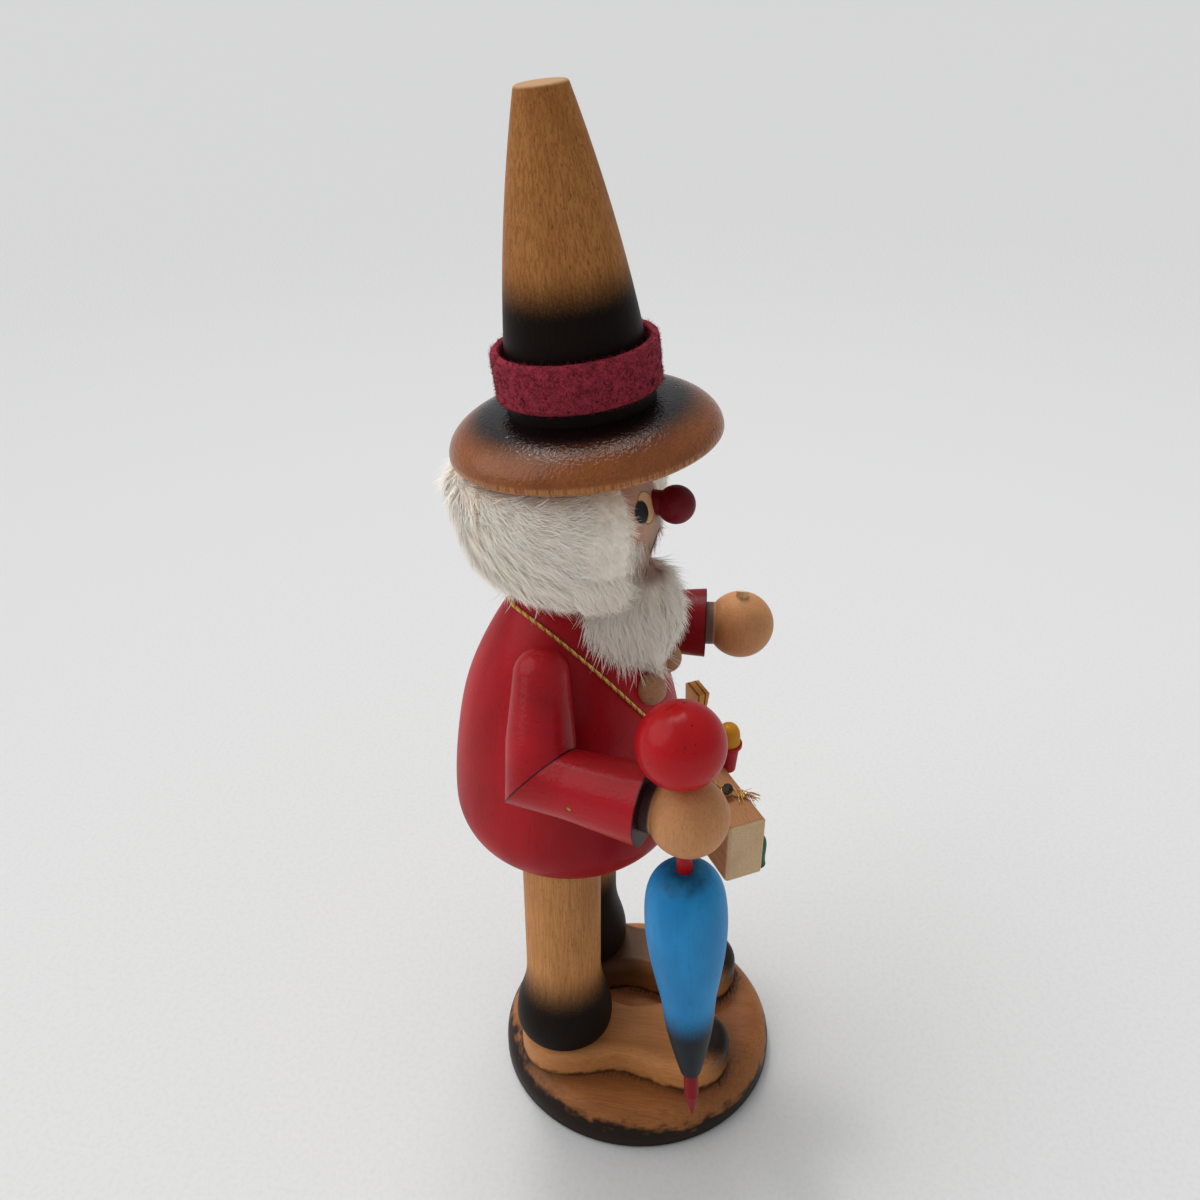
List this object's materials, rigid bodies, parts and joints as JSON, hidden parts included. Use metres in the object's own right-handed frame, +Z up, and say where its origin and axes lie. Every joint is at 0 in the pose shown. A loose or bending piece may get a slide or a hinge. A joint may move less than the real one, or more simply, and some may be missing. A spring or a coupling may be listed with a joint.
{
  "type": "incense smoker figure",
  "caption": "Turned wooden incense smoker: a fur-bearded gnome pedlar in a tall hat, with a closed umbrella and a tray hung from a cord; the body lifts off its legs.",
  "frame": {"origin": "centre of the base's underside", "axes": "+Z up; the feet point along -Y; the figure's right side is -X"},
  "size_m": [0.1031, 0.0909, 0.274],
  "materials": {
    "stained_wood": "stained and airbrushed, clear lacquer",
    "leg_wood": "clear lacquer, black sprayed boots",
    "bare_wood": "bare",
    "tray_wood": "stained, bare end grain",
    "skin_wood": "clear lacquer",
    "hat_wood": "clear lacquer, black sprayed",
    "button_wood": "stained",
    "red_lacquer": "satin lacquer",
    "bright_red_lacquer": "gloss lacquer",
    "wine_lacquer": "gloss lacquer",
    "blue_lacquer": "satin lacquer",
    "green_lacquer": "gloss lacquer",
    "yellow_lacquer": "gloss lacquer",
    "white_fur": "fur",
    "red_felt": "felted",
    "gold_cord": "twisted metallic thread",
    "nail_steel": "plain",
    "brass_sheet": "plain"
  },
  "bodies": {
    "stand": {"base_disc": "stained_wood", "right_foot": "stained_wood", "left_foot": "stained_wood", "right_leg": "leg_wood", "left_leg": "leg_wood", "right_ankle_dowel": "bare_wood", "left_ankle_dowel": "bare_wood", "right_hip_dowel": "bare_wood", "left_hip_dowel": "bare_wood", "leg_plug": "red_lacquer", "incense_plate": "brass_sheet", "plate_nail": "nail_steel"},
    "figure": {"torso_shell": "red_lacquer", "head": "skin_wood", "nose": "wine_lacquer", "hair": "white_fur", "beard": "white_fur", "hat_brim": "hat_wood", "hat_crown": "hat_wood", "hat_band": "red_felt", "right_upper_arm": "red_lacquer", "left_upper_arm": "red_lacquer", "right_forearm": "red_lacquer", "left_forearm": "red_lacquer", "right_hand": "skin_wood", "left_hand": "skin_wood", "right_shoulder_dowel": "bare_wood", "left_shoulder_dowel": "bare_wood", "right_elbow_brad": "brass_sheet", "left_elbow_brad": "brass_sheet", "right_button": "button_wood", "left_button": "button_wood", "peg_stub": "bare_wood", "neck_cord": "gold_cord"},
    "umbrella": {"umbrella_knob": "bright_red_lacquer", "umbrella_stick": "bright_red_lacquer", "umbrella_canopy": "blue_lacquer", "umbrella_tip": "bright_red_lacquer"},
    "tray": {"tray_block": "tray_wood", "right_cord_nail": "nail_steel", "left_cord_nail": "nail_steel", "green_bell": "green_lacquer", "red_tub": "bright_red_lacquer", "yellow_dome": "yellow_lacquer", "striped_box": "yellow_lacquer"}
  },
  "joints": [
    {"name": "torso_lift", "type": "slide", "parent": "stand", "child": "figure", "axis": [0, 0, 1], "range_m": [0, 0.06]},
    {"name": "umbrella_turn", "type": "hinge", "parent": "figure", "child": "umbrella", "pos_m": [-0.04338, -0.0138, 0.1271], "axis": [0.0052, 0.0591, 0.9982], "continuous": true},
    {"name": "tray_swing", "type": "hinge", "parent": "figure", "child": "tray", "pos_m": [0.0021, 0.02398, 0.162], "axis": [-0.9962, 0.0872, 0], "range_deg": [0, 12], "deforming": ["neck_cord"]}
  ]
}
